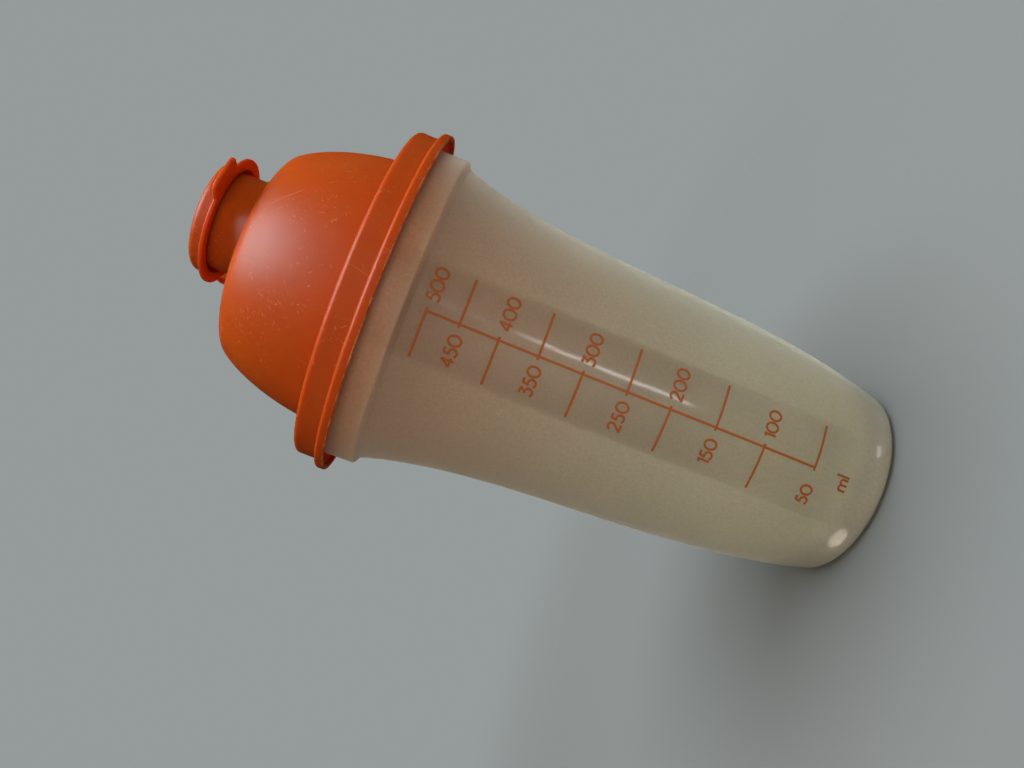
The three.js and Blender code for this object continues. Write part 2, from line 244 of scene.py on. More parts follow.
def outline(points, closed=False):
    """A chain of edges through (radius, height) points. A point's third value rounds its corner."""
    bm = bmesh.new()
    corners = [bm.verts.new((p[0] * MM, 0, p[1] * MM)) for p in points]
    for a, b in zip(corners, corners[1:]):
        bm.edges.new((a, b))
    if closed:
        bm.edges.new((corners[-1], corners[0]))
    for corner, point in zip(corners, points):
        if len(point) == 3:
            ways = [edge.other_vert(corner).co - corner.co for edge in corner.link_edges]
            reach = point[2] * MM / math.tan(ways[0].angle(ways[1]) / 2)
            bmesh.ops.bevel(bm, geom=[corner], offset=reach, affect="VERTICES",
                            segments=ROUND_SEGMENTS, profile=0.5, material=-1)
    return bm


def turned(points, steps, axis_x=0.0, closed=False):
    """A solid turned from an outline about an upright axis."""
    bm = outline(points, closed)
    bmesh.ops.spin(bm, geom=bm.verts[:] + bm.edges[:], cent=(0, 0, 0), axis=(0, 0, 1), dvec=(0, 0, 0),
                   angle=math.tau, steps=steps, use_merge=True)
    bmesh.ops.remove_doubles(bm, verts=bm.verts, dist=MERGE)
    bmesh.ops.recalc_face_normals(bm, faces=bm.faces)
    bmesh.ops.translate(bm, verts=bm.verts, vec=(axis_x * MM, 0, 0))
    return bm


def in_order(bm):
    """The vertices of a closed chain of edges, in order."""
    bm.verts.ensure_lookup_table()
    run = [bm.verts[0]]
    edge = run[0].link_edges[0]
    while True:
        vert = edge.other_vert(run[-1])
        if vert == run[0]:
            return run
        run.append(vert)
        edge = next(e for e in vert.link_edges if e != edge)


def slab(points, thickness, eased):
    """A plate from a flat outline in XZ, grown along +Y, with its corners rounded and its edges eased."""
    bm = outline(points, closed=True)
    face = bm.faces.new(in_order(bm))
    grown = bmesh.ops.extrude_face_region(bm, geom=[face])
    far_side = [g for g in grown["geom"] if isinstance(g, bmesh.types.BMVert)]
    bmesh.ops.translate(bm, verts=far_side, vec=(0, thickness * MM, 0))
    bmesh.ops.recalc_face_normals(bm, faces=bm.faces)
    rims = [e for e in bm.edges if len(e.link_faces) == 2 and e.calc_face_angle() > RIM_TURN]
    bmesh.ops.bevel(bm, geom=rims, offset=eased * MM, affect="EDGES", segments=EDGE_SEGMENTS, profile=0.5,
                    material=-1)
    return bm


def rod(radius, half, steps=ROD_STEPS):
    """A round bar along the hinge line, as long on either side."""
    bm = bmesh.new()
    bmesh.ops.create_cone(bm, cap_ends=True, segments=steps, radius1=radius * MM, radius2=radius * MM,
                          depth=2 * half * MM)
    bmesh.ops.rotate(bm, verts=bm.verts, cent=(0, 0, 0), matrix=Matrix.Rotation(math.pi / 2, 3, "X"))
    bmesh.ops.translate(bm, verts=bm.verts, vec=(HINGE_X * MM, 0, HINGE_Z * MM))
    return bm


def piece(name, bm, material, sharp=SHARP):
    """A finished object from a bmesh, smooth but for its sharp edges."""
    mesh = bpy.data.meshes.new(name)
    for face in bm.faces:
        face.smooth = True
    bm.to_mesh(mesh)
    bm.free()
    mesh.set_sharp_from_angle(angle=math.radians(sharp))
    made = bpy.data.objects.new(name, mesh)
    bpy.context.scene.collection.objects.link(made)
    if material:
        mesh.materials.append(material)
    return made


def joined(name, body, steps, material):
    """A solid that others are joined to or cut from, in turn."""
    made = piece(name, body, None)
    tools = []
    for operation, bm in steps:
        tool = piece(name + "_tool", bm, None)
        step = made.modifiers.new(operation.lower(), "BOOLEAN")
        step.operation = operation
        step.solver = "EXACT"
        step.object = tool
        tools.append(tool)
    bpy.context.view_layer.update()
    mesh = bpy.data.meshes.new_from_object(made.evaluated_get(bpy.context.evaluated_depsgraph_get()))
    made.modifiers.clear()
    made.data = mesh
    mesh.name = name
    for tool in tools:
        bpy.data.objects.remove(tool)
    bm = bmesh.new()
    bm.from_mesh(mesh)
    bmesh.ops.dissolve_degenerate(bm, dist=SLIVER, edges=bm.edges)
    bm.to_mesh(mesh)
    bm.free()
    mesh.materials.clear()
    mesh.materials.append(material)
    for polygon in mesh.polygons:
        polygon.use_smooth = True
    mesh.set_sharp_from_angle(angle=math.radians(SHARP))
    return made


# Materials

POLYPROPYLENE_IOR = 1.49
EASED = {"interpolation_type": "SMOOTHSTEP"}
NOISE_MIDDLE = (0.3, 0.7)         # where nearly all of a noise pattern's values lie


def colour(hex_text):
    """An sRGB hex colour as linear RGBA."""
    parts = [int(hex_text[i:i + 2], 16) / 255 for i in (1, 3, 5)]
    return (*(c / 12.92 if c <= 0.04045 else ((c + 0.055) / 1.055) ** 2.4 for c in parts), 1.0)


def add(tree, kind, inputs=None, **settings):
    """Adds a node with its settings, and sets or links its inputs. Inputs 0 to 4 of a Map Range are its
    value, what it maps from and what it maps to."""
    made = tree.nodes.new(kind)
    for name, value in settings.items():
        setattr(made, name, value)
    for socket, value in (inputs or {}).items():
        if isinstance(value, bpy.types.NodeSocket):
            tree.links.new(value, made.inputs[socket])
        else:
            made.inputs[socket].default_value = value
    return made


def fresh(name):
    """A new material, its node tree, and the place on its piece in millimetres."""
    made = bpy.data.materials.new(name)
    made.use_nodes = True
    tree = made.node_tree
    tree.nodes.clear()
    place = add(tree, "ShaderNodeTexCoord").outputs["Object"]
    mm = add(tree, "ShaderNodeVectorMath", {0: place, "Scale": 1 / MM}, operation="SCALE").outputs[0]
    return made, tree, mm


def frosted_polypropylene():
    """Natural polypropylene, blow-moulded with an etched mould: milky, lets light through, a fine dull grain
    outside, and a polished panel behind the scale and around the foot that shines."""
    panel_half = 13.0
    panel_edge = 0.4
    frost_pit = 0.7               # real pits are about 0.05 mm wide, drawn wider so that they show
    cloud_width = 22.0
    wave_width = 9.0
    made, tree, mm = fresh("frosted_polypropylene")
    ahead = (math.sin(SCALE_AZIMUTH), -math.cos(SCALE_AZIMUTH), 0)
    aside = (math.cos(SCALE_AZIMUTH), math.sin(SCALE_AZIMUTH), 0)
    front = add(tree, "ShaderNodeVectorMath", {0: mm, 1: ahead}, operation="DOT_PRODUCT").outputs["Value"]
    across = add(tree, "ShaderNodeVectorMath", {0: mm, 1: aside}, operation="DOT_PRODUCT").outputs["Value"]
    away = add(tree, "ShaderNodeMath", {0: across}, operation="ABSOLUTE").outputs[0]
    height = add(tree, "ShaderNodeSeparateXYZ", {0: mm}).outputs["Z"]

    # The panel is on the scale's side alone and grows dull towards the collar. The foot's shine fades upwards.
    beside_line = add(tree, "ShaderNodeMapRange", {
        0: away, 1: panel_half - panel_edge, 2: panel_half + panel_edge, 3: 1.0, 4: 0.0}, **EASED).outputs[0]
    facing = add(tree, "ShaderNodeMapRange", {0: front, 1: 5.0, 2: 6.0}).outputs[0]
    below = add(tree, "ShaderNodeMapRange", {
        0: height, 1: 95.0, 2: 136.0, 3: 1.0, 4: 0.25}, **EASED).outputs[0]
    foot = add(tree, "ShaderNodeMapRange", {0: height, 1: 6.0, 2: 22.0, 3: 1.0, 4: 0.0}, **EASED).outputs[0]
    panel = add(tree, "ShaderNodeMath", {0: beside_line, 1: facing}, operation="MULTIPLY").outputs[0]
    panel = add(tree, "ShaderNodeMath", {0: panel, 1: below}, operation="MULTIPLY").outputs[0]
    polished = add(tree, "ShaderNodeMath", {0: panel, 1: foot}, operation="MAXIMUM").outputs[0]

    grain = add(tree, "ShaderNodeTexNoise", {
        "Vector": mm, "Scale": 1 / frost_pit, "Detail": 3.0, "Roughness": 0.6}).outputs["Fac"]
    cloud = add(tree, "ShaderNodeTexNoise", {
        "Vector": mm, "Scale": 1 / cloud_width, "Detail": 2.0, "Roughness": 0.5}).outputs["Fac"]
    milk = add(tree, "ShaderNodeMix", {"Factor": cloud, "A": colour("#e4d9c1"), "B": colour("#eae0cc")},
               data_type="RGBA").outputs[2]
    # Painted light: the wall is painted lighter towards the bottom. Painted shade: the panel is painted darker
    # where the dim inside would show through it.
    painted_light_low = add(tree, "ShaderNodeMapRange", {
        0: height, 1: 15.0, 2: 75.0, 3: 0.7, 4: 0.0}, **EASED).outputs[0]
    milk = add(tree, "ShaderNodeMix", {"Factor": painted_light_low, "A": milk, "B": colour("#fbf1d9")},
               data_type="RGBA").outputs[2]
    soft = add(tree, "ShaderNodeMapRange", {0: away, 1: 10.5, 2: 14.0, 3: 1.0, 4: 0.0}, **EASED).outputs[0]
    # Painted shade: the panel is painted darker and browner, as the dim inside seen through it.
    inside = add(tree, "ShaderNodeMapRange", {
        0: height, 1: 25.0, 2: 75.0, 3: 0.0, 4: 0.25}, **EASED).outputs[0]
    inside = add(tree, "ShaderNodeMath", {0: inside, 1: soft}, operation="MULTIPLY").outputs[0]
    inside = add(tree, "ShaderNodeMath", {0: inside, 1: facing}, operation="MULTIPLY").outputs[0]
    milk = add(tree, "ShaderNodeMix", {"Factor": inside, "A": milk, "B": colour("#8c6c56")},
               data_type="RGBA").outputs[2]
    # Painted light: towards the lid the wall is painted warmer, most of all in the collar, as painted orange
    # light from the lid coming through it.
    painted_lid_light = add(tree, "ShaderNodeMapRange", {
        0: height, 1: 50.0, 2: 148.0, 3: 0.0, 4: 0.23}, **EASED).outputs[0]
    milk = add(tree, "ShaderNodeMix", {"Factor": painted_lid_light, "A": milk, "B": colour("#f08c38")},
               data_type="RGBA").outputs[2]
    collar = add(tree, "ShaderNodeMapRange", {0: height, 1: 138.0, 2: 141.0}, **EASED).outputs[0]
    # Painted glow in the collar, strongest just under the lid's lip.
    painted_collar_glow = add(tree, "ShaderNodeMapRange", {0: height, 1: 139.0, 2: 147.0, 3: 0.15, 4: 0.38}).outputs[0]
    painted_collar_glow = add(tree, "ShaderNodeMath", {0: collar, 1: painted_collar_glow}, operation="MULTIPLY").outputs[0]
    milk = add(tree, "ShaderNodeMix", {"Factor": painted_collar_glow, "A": milk, "B": colour("#ffa030")},
               data_type="RGBA").outputs[2]
    low, high = NOISE_MIDDLE
    speck = add(tree, "ShaderNodeMapRange", {0: grain, 1: low, 2: high, 3: 0.86, 4: 1.1}).outputs[0]
    tint = add(tree, "ShaderNodeMix", {"Factor": 1.0, "A": milk, "B": speck},
               data_type="RGBA", blend_type="MULTIPLY").outputs[2]

    # The collar's step and the foot are thicker and let less light through than the wall. The panel lets more.
    step = add(tree, "ShaderNodeMath", {0: collar, 1: 0.65}, operation="MULTIPLY").outputs[0]
    thick = add(tree, "ShaderNodeMath", {0: step, 1: foot}, operation="MAXIMUM").outputs[0]
    clear = add(tree, "ShaderNodeMath", {0: panel, 1: 0.02, 2: 0.8}, operation="MULTIPLY_ADD").outputs[0]
    clear = add(tree, "ShaderNodeMath", {0: thick, 1: -0.17, 2: clear}, operation="MULTIPLY_ADD").outputs[0]
    dull = add(tree, "ShaderNodeMapRange", {0: grain, 1: low, 2: high, 3: 0.50, 4: 0.60}).outputs[0]
    gloss = add(tree, "ShaderNodeMix", {"Factor": polished, "A": dull, "B": 0.42}).outputs[0]

    # Relief in millimetres: pits where it is frosted, the edge of what is polished, and a blown wall that is
    # a little wavy, which breaks up what the panel mirrors.
    frost = add(tree, "ShaderNodeMath", {0: 1.0, 1: polished}, operation="SUBTRACT").outputs[0]
    pits = add(tree, "ShaderNodeMath", {0: grain, 1: frost}, operation="MULTIPLY").outputs[0]
    pits = add(tree, "ShaderNodeMath", {0: pits, 1: 0.05}, operation="MULTIPLY").outputs[0]
    waves = add(tree, "ShaderNodeTexNoise", {
        "Vector": mm, "Scale": 1 / wave_width, "Detail": 1.0}).outputs["Fac"]
    waves = add(tree, "ShaderNodeMath", {0: waves, 1: 0.15, 2: pits}, operation="MULTIPLY_ADD").outputs[0]
    relief = add(tree, "ShaderNodeMath", {0: polished, 1: 0.1, 2: waves},
                 operation="MULTIPLY_ADD").outputs[0]
    bump = add(tree, "ShaderNodeBump", {"Strength": 0.6, "Distance": MM, "Height": relief}).outputs[0]
    skin = add(tree, "ShaderNodeBsdfPrincipled", {
        "Base Color": tint, "Roughness": gloss, "IOR": POLYPROPYLENE_IOR, "Normal": bump,
        "Transmission Weight": clear, "Subsurface Weight": 0.6, "Subsurface Scale": 3 * MM,
        "Subsurface Radius": (1.0, 0.75, 0.5), "Specular IOR Level": 0.45,
        "Sheen Weight": 0.4, "Sheen Roughness": 0.4, "Sheen Tint": colour("#f2ead8"),
        "Coat Weight": polished, "Coat Roughness": 0.1, "Coat IOR": POLYPROPYLENE_IOR, "Coat Normal": bump})
    add(tree, "ShaderNodeOutputMaterial", {"Surface": skin.outputs[0]})
    return made


def orange_polypropylene():
    """Injection-moulded orange polypropylene with a satin face: a soft sheen, fine scratches from use, and a
    pale broken line along the lip's lower edge."""
    cloud_width = 16.0
    grain_width = 0.6
    patch_width = 9.0
    scratch_length = 16.0
    scratch_width = 0.4
    scratch_leans = (78, 34, -47)
    line_gap_width = 4.0
    made, tree, mm = fresh("orange_polypropylene")
    cloud = add(tree, "ShaderNodeTexNoise", {
        "Vector": mm, "Scale": 1 / cloud_width, "Detail": 3.0}).outputs["Fac"]
    grain = add(tree, "ShaderNodeTexNoise", {
        "Vector": mm, "Scale": 1 / grain_width, "Detail": 2.0}).outputs["Fac"]
    body = add(tree, "ShaderNodeMix", {"Factor": cloud, "A": colour("#a63e04"), "B": colour("#b14705")},
               data_type="RGBA").outputs[2]

    # Scratches: runs of a pattern that is drawn out along them, kept only at its crests and in patches.
    patches = add(tree, "ShaderNodeTexNoise", {
        "Vector": mm, "Scale": 1 / patch_width, "Detail": 1.0}).outputs["Fac"]
    patches = add(tree, "ShaderNodeMapRange", {0: patches, 1: 0.42, 2: 0.58}).outputs[0]
    crests = 0.0
    for lean in scratch_leans:
        drawn = add(tree, "ShaderNodeMapping", {
            "Vector": mm, "Rotation": (0, math.radians(-lean), SCALE_AZIMUTH),
            "Scale": (scratch_length, scratch_width, scratch_width)}, vector_type="TEXTURE").outputs[0]
        run = add(tree, "ShaderNodeTexNoise", {"Vector": drawn, "Scale": 1.0, "Detail": 0.0}).outputs["Fac"]
        crest = add(tree, "ShaderNodeMapRange", {0: run, 1: 0.76, 2: 0.82}).outputs[0]
        crests = add(tree, "ShaderNodeMath", {0: crest, 1: crests}, operation="MAXIMUM").outputs[0]
    scratch = add(tree, "ShaderNodeMath", {0: patches, 1: crests}, operation="MULTIPLY").outputs[0]

    # A pale broken line along the lower edge of the lid's lip
    height = add(tree, "ShaderNodeSeparateXYZ", {0: mm}).outputs["Z"]
    level = add(tree, "ShaderNodeVectorMath", {0: mm, 1: (1, 1, 0)}, operation="MULTIPLY").outputs[0]
    radius = add(tree, "ShaderNodeVectorMath", {0: level}, operation="LENGTH").outputs["Value"]
    wide = add(tree, "ShaderNodeMapRange", {
        0: radius, 1: LIP_RADIUS - 1.8, 2: LIP_RADIUS - 1.4}).outputs[0]
    low = add(tree, "ShaderNodeMapRange", {
        0: height, 1: LIP_BOTTOM + 0.1, 2: LIP_BOTTOM + 0.45, 3: 1.0, 4: 0.0}).outputs[0]
    edge = add(tree, "ShaderNodeMath", {0: low, 1: wide}, operation="MULTIPLY").outputs[0]
    line_gaps = add(tree, "ShaderNodeTexNoise", {
        "Vector": mm, "Scale": 1 / line_gap_width, "Detail": 5.0, "Roughness": 0.7}).outputs["Fac"]
    line_gaps = add(tree, "ShaderNodeMapRange", {0: line_gaps, 1: 0.46, 2: 0.62}).outputs[0]
    pale_edge_line = add(tree, "ShaderNodeMath", {0: edge, 1: line_gaps}, operation="MULTIPLY").outputs[0]
    scratches_and_pale_line = add(tree, "ShaderNodeMath", {0: scratch, 1: 0.4}, operation="MULTIPLY").outputs[0]
    scratches_and_pale_line = add(tree, "ShaderNodeMath", {0: scratches_and_pale_line, 1: pale_edge_line}, operation="MAXIMUM").outputs[0]
    face = add(tree, "ShaderNodeMix", {"Factor": scratches_and_pale_line, "A": body, "B": colour("#d08a5c")},
               data_type="RGBA").outputs[2]

    low, high = NOISE_MIDDLE
    satin = add(tree, "ShaderNodeMapRange", {0: grain, 1: low, 2: high, 3: 0.39, 4: 0.47}).outputs[0]
    # Relief in millimetres
    relief = add(tree, "ShaderNodeMath", {0: grain, 1: 0.02}, operation="MULTIPLY").outputs[0]
    relief = add(tree, "ShaderNodeMath", {0: scratch, 1: -0.03, 2: relief},
                 operation="MULTIPLY_ADD").outputs[0]
    bump = add(tree, "ShaderNodeBump", {"Strength": 0.6, "Distance": MM, "Height": relief}).outputs[0]
    skin = add(tree, "ShaderNodeBsdfPrincipled", {
        "Base Color": face, "Roughness": satin, "IOR": POLYPROPYLENE_IOR, "Normal": bump,
        "Specular IOR Level": 0.45, "Subsurface Weight": 0.6, "Subsurface Scale": 4 * MM,
        "Subsurface Radius": (1.0, 0.25, 0.08)})
    add(tree, "ShaderNodeOutputMaterial", {"Surface": skin.outputs[0]})
    return made


def printed_ink():
    """Orange-brown screen-printing ink on the beaker: a thin dull film that is a little uneven."""
    blot_width = 0.7
    made, tree, mm = fresh("printed_ink")
    film = add(tree, "ShaderNodeTexNoise", {
        "Vector": mm, "Scale": 1 / blot_width, "Detail": 2.0}).outputs["Fac"]
    ink = add(tree, "ShaderNodeMix", {"Factor": film, "A": colour("#98480f"), "B": colour("#a85a18")},
              data_type="RGBA").outputs[2]
    skin = add(tree, "ShaderNodeBsdfPrincipled", {"Base Color": ink, "Roughness": 0.5, "IOR": 1.5})
    add(tree, "ShaderNodeOutputMaterial", {"Surface": skin.outputs[0]})
    return made


FROSTED = frosted_polypropylene()
ORANGE = orange_polypropylene()
INK = printed_ink()


# Beaker

def make_beaker():
    foot_inside = FOOT_RADIUS - FOOT_WIDTH
    bead_top = RIM_TOP - RIM_BEAD_DROP
    outside = [p for p in WALL_CURVE[1:-1] if p[1] > FOOT_ROUND]
    inside = [p for p in reversed(set_in(WALL_CURVE, WALL)) if p[1] > FLOOR_TOP + FLOOR_ROUND]
    upper, lower = inside[-2:]
    lean = (upper[0] - lower[0]) / (upper[1] - lower[1])
    floor_radius = lower[0] - lean * (lower[1] - FLOOR_TOP)
    bm = turned([
        (0, FOOT_HEIGHT), (foot_inside - FOOT_SLOPE, FOOT_HEIGHT, EDGE_ROUND), (foot_inside, 0, EDGE_ROUND),
        (*WALL_FOOT, FOOT_ROUND), *outside, (*WALL_TOP, STEP_ROUND),
        (COLLAR_RADIUS, COLLAR_BOTTOM, STEP_ROUND), (COLLAR_RADIUS, bead_top - RIM_BEAD_HEIGHT),
        (RIM_RADIUS, bead_top - RIM_BEAD), (RIM_RADIUS, bead_top), (RIM_RADIUS - EDGE_ROUND, RIM_TOP),
        (MOUTH_RADIUS, RIM_TOP, EDGE_ROUND), (MOUTH_RADIUS, LEDGE, EDGE_ROUND),
        (*inside[0], EDGE_ROUND), *inside[1:], (floor_radius, FLOOR_TOP, FLOOR_ROUND), (0, FLOOR_TOP),
    ], TURN_STEPS)
    made = piece("beaker_shell", bm, FROSTED)
    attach(made, "beaker")
    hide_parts("beaker")


# Printed scale, in millimetres across from its line and up from the table

def arc(cx, cy, rx, ry, start, end, count=14):
    """Points on part of an ellipse, from one angle to another in degrees."""
    turns = [math.radians(start + (end - start) * i / count) for i in range(count + 1)]
    return [(cx + rx * math.cos(t), cy + ry * math.sin(t)) for t in turns]


# Strokes of each sign on a body one unit tall, and its width
SIGNS = {
    "0": ([arc(0.39, 0.5, 0.39, 0.5, 90, 450, 28)], 0.78),
    "1": ([[(0.0, 0.8), (0.2, 0.98)], [(0.2, 1.03), (0.2, 0.0)]], 0.2),
    "2": ([[*arc(0.28, 0.72, 0.27, 0.28, 170, -35), (0.0, 0.0)], [(-0.03, 0.0), (0.58, 0.0)]], 0.58),
    "3": ([[(0.02, 1.0), (0.54, 1.0)], [(0.5, 1.0), (0.19, 0.6)],
           arc(0.22, 0.31, 0.32, 0.31, 110, -140)], 0.54),
    "4": ([[(0.44, 0.0), (0.44, 1.04)], [(0.44, 0.98), (0.0, 0.27)], [(-0.04, 0.27), (0.62, 0.27)]], 0.62),
    "5": ([[(0.52, 1.0), (0.13, 1.0)], [(0.16, 1.0), (0.07, 0.53)],
           arc(0.24, 0.31, 0.31, 0.31, 125, -145)], 0.56),
    "m": ([[(0.0, 0.0), (0.0, 0.56)], [*arc(0.19, 0.36, 0.19, 0.2, 180, 0), (0.38, 0.0)],
           [*arc(0.57, 0.36, 0.19, 0.2, 180, 0), (0.76, 0.0)]], 0.76),
    "l": ([[(0.0, 0.0), (0.0, 1.0)]], 0.0),
}
SIGN_HEIGHT = 3.3
SIGN_GAP = 0.2                    # between signs, as a share of their height
SIGN_DROP = 0.35                  # a number's middle is this far below its mark
SIGN_HALF = 0.31                  # half the width of a stroke
UNIT_HEIGHT = 4.0
UNIT_LEFT = -3.2
UNIT_MIDDLE = 15.0
# (millilitres, height of the mark, where the number's near side stands from the line)
MARKS = ((500, 134.7, 2.9), (450, 126.0, -3.0), (400, 115.6, 3.0), (350, 104.7, -2.8), (300, 92.5, 2.8),
         (250, 80.0, -2.9), (200, 67.7, 2.8), (150, 54.4, -3.4), (100, 40.0, 3.0), (50, 24.2, -5.2))
TICK_LONG = 12.0
TICK_SHORT = 0.9
LINE_HALF = 0.33
STROKE_STEP = 0.6                 # points this close follow the wall
FILM = 0.02                       # the ink's middle lies this far out from the wall
FILM_FLAT = 0.1                   # a round stroke is pressed to this share of its thickness


def word_strokes(word, left, middle, size=SIGN_HEIGHT):
    """The strokes of a word that starts at left and is centred at a height."""
    strokes = []
    for sign in word:
        lines, width = SIGNS[sign]
        strokes += [[(left + x * size, middle + (y - 0.5) * size) for x, y in line] for line in lines]
        left += (width + SIGN_GAP) * size
    return strokes


def word_width(word):
    return (sum(SIGNS[sign][1] for sign in word) + SIGN_GAP * (len(word) - 1)) * SIGN_HEIGHT


def followed(stroke):
    """The same stroke with its points close enough to follow the wall."""
    points = stroke[:1]
    for a, b in zip(stroke, stroke[1:]):
        count = max(1, math.ceil(math.dist(a, b) / STROKE_STEP))
        points += [(a[0] + (b[0] - a[0]) * i / count, a[1] + (b[1] - a[1]) * i / count)
                   for i in range(1, count + 1)]
    return points


def print_strokes(name, strokes, half):
    """Lays flat strokes on the beaker's wall as a thin film."""
    drawn = bpy.data.curves.new(name, "CURVE")
    drawn.dimensions = "3D"
    drawn.bevel_depth = half * MM
    drawn.bevel_resolution = 1
    drawn.use_fill_caps = True
    for stroke in map(followed, strokes):
        spline = drawn.splines.new("POLY")
        spline.points.add(len(stroke) - 1)
        for point, (x, y) in zip(spline.points, stroke):
            point.co = (x * MM, y * MM, 0, 1)
    holder = bpy.data.objects.new(name, drawn)
    bpy.context.scene.collection.objects.link(holder)
    bpy.context.view_layer.update()
    mesh = bpy.data.meshes.new_from_object(holder.evaluated_get(bpy.context.evaluated_depsgraph_get()))
    bpy.data.objects.remove(holder)
    bm = bmesh.new()
    bm.from_mesh(mesh)
    bpy.data.meshes.remove(mesh)
    for vert in bm.verts:
        radius = wall_radius(vert.co.y / MM) * MM
        turn = SCALE_AZIMUTH + vert.co.x / radius
        out = radius + FILM * MM + FILM_FLAT * vert.co.z
        vert.co = (out * math.sin(turn), -out * math.cos(turn), vert.co.y)
    bmesh.ops.remove_doubles(bm, verts=bm.verts, dist=MERGE)
    bmesh.ops.recalc_face_normals(bm, faces=bm.faces)
    made = piece(name, bm, INK, sharp=INK_SHARP)
    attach(made, "beaker")


def make_scale():
    lines = [[(0, MARKS[-1][1]), (0, MARKS[0][1])]]
    signs = word_strokes("ml", UNIT_LEFT, UNIT_MIDDLE, UNIT_HEIGHT)
    for amount, height, near in MARKS:
        word = str(amount)
        if near > 0:
            lines.append([(-TICK_LONG, height), (TICK_SHORT, height)])
            signs += word_strokes(word, near, height - SIGN_DROP)
        else:
            lines.append([(-TICK_SHORT, height), (TICK_LONG, height)])
            signs += word_strokes(word, near - word_width(word), height - SIGN_DROP)
    print_strokes("scale_lines", lines, LINE_HALF)
    print_strokes("scale_numbers", signs, SIGN_HALF)


# Lid

def make_post(near_y):
    """One of the two posts of the cap's hinge, from a place along the hinge line."""
    foot = CROWN_TOP - LID_WALL / 2
    waist = foot + 2 * POST_SPREAD
    top = HINGE_Z + POST_HALF
    top_round = POST_HALF - POST_FLAT
    bm = slab([
        (HINGE_X - POST_HALF - POST_SPREAD, foot), (HINGE_X + POST_HALF + POST_SPREAD, foot),
        (HINGE_X + POST_HALF, waist, POST_SPREAD), (HINGE_X + POST_HALF, top, top_round),
        (HINGE_X - POST_HALF, top, top_round), (HINGE_X - POST_HALF, waist, POST_SPREAD),
    ], POST_THICK, BAR_EDGE)
    bmesh.ops.translate(bm, verts=bm.verts, vec=(0, near_y * MM, 0))
    return bm


def make_dome():
    """The dome's outside from its foot up to the crown."""
    start = beside(DOME_FOOT, SHOULDER_START)
    end = beside(DOME_FOOT, SHOULDER_END)
    level = (DOME_FOOT[0] + CROWN_PULL, CROWN_TOP)
    dome = curve(DOME_FOOT, beside(DOME_FOOT, DOME_LOW_PULL), beside(DOME_FOOT, DOME_HIGH_PULL), start,
                 DOME_POINTS)
    shoulder = curve(start, beside(DOME_FOOT, SHOULDER_LOW_PULL), beside(DOME_FOOT, SHOULDER_HIGH_PULL), end,
                     SHOULDER_POINTS)
    crown = curve(end, level, level, (0.0, CROWN_TOP), CROWN_POINTS)
    return [*dome, *shoulder[1:], *crown[1:]]


def make_lid():
    outside = make_dome()
    inside = set_in(outside, LID_WALL)
    crown_underside = CROWN_TOP - LID_WALL
    lip_inside = LIP_RADIUS - LIP_WALL
    plug_inside = PLUG_RADIUS - LID_WALL
    shell = turned([
        *reversed(outside[1:]), (*DOME_FOOT, EDGE_ROUND), (SKIRT_RADIUS, SKIRT_TOP, SKIRT_ROUND),
        (SKIRT_RADIUS, LIP_TOP, SMALL_ROUND), (LIP_RADIUS, LIP_TOP, LIP_ROUND),
        (LIP_RADIUS, LIP_BOTTOM, SMALL_ROUND), (lip_inside, LIP_BOTTOM), (lip_inside, LIP_TOP - LIP_WALL),
        (SKIRT_INSIDE, LIP_TOP + EDGE_ROUND), (SKIRT_INSIDE, PLATE_UNDERSIDE), (PLUG_RADIUS, PLATE_UNDERSIDE),
        (PLUG_RADIUS, PLUG_BOTTOM + 2 * EDGE_ROUND), (PLUG_RADIUS - EDGE_ROUND, PLUG_BOTTOM),
        (plug_inside, PLUG_BOTTOM), (plug_inside, PLATE_UNDERSIDE),
        (DOME_FOOT[0] - LID_WALL, PLATE_UNDERSIDE), *inside[1:-1], (0, crown_underside),
    ], TURN_STEPS)
    bead = NECK_TOP - NECK_BEAD_DROP
    neck = turned([
        (0, crown_underside), (NECK_RADIUS + NECK_FLARE, crown_underside),
        (NECK_RADIUS + NECK_FLARE_WAIST, CROWN_TOP + NECK_FLARE_WAIST, NECK_FLARE_ROUND),
        (NECK_RADIUS, CROWN_TOP + NECK_FLARE), (NECK_RADIUS, bead - NECK_BEAD),
        (NECK_RADIUS + NECK_BEAD, bead, SMALL_ROUND), (NECK_RADIUS, NECK_TOP - SMALL_ROUND),
        (NECK_RADIUS - SMALL_ROUND, NECK_TOP), (0, NECK_TOP),
    ], SPOUT_STEPS, SPOUT_X)
    bore_bottom = SKIRT_TOP + SHOULDER_START[1]
    bore = turned([(0, bore_bottom), (BORE_RADIUS, bore_bottom), (BORE_RADIUS, CAP_TOP), (0, CAP_TOP)],
                  SPOUT_STEPS, SPOUT_X)
    # Turned by half a step, so that no edge of the bore lies on one of the neck's.
    bmesh.ops.rotate(bore, verts=bore.verts, cent=(SPOUT_X * MM, 0, 0),
                     matrix=Matrix.Rotation(math.pi / SPOUT_STEPS, 3, "Z"))
    made = joined("lid_shell", shell, [
        ("UNION", neck), ("DIFFERENCE", bore),
        ("UNION", make_post(-POST_INNER - POST_THICK)), ("UNION", make_post(POST_INNER)),
        ("DIFFERENCE", rod(STUB_RADIUS + STUB_GAP, HINGE_REACH)),
    ], ORANGE)
    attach(made, "lid")
    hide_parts("lid")


# Flip cap

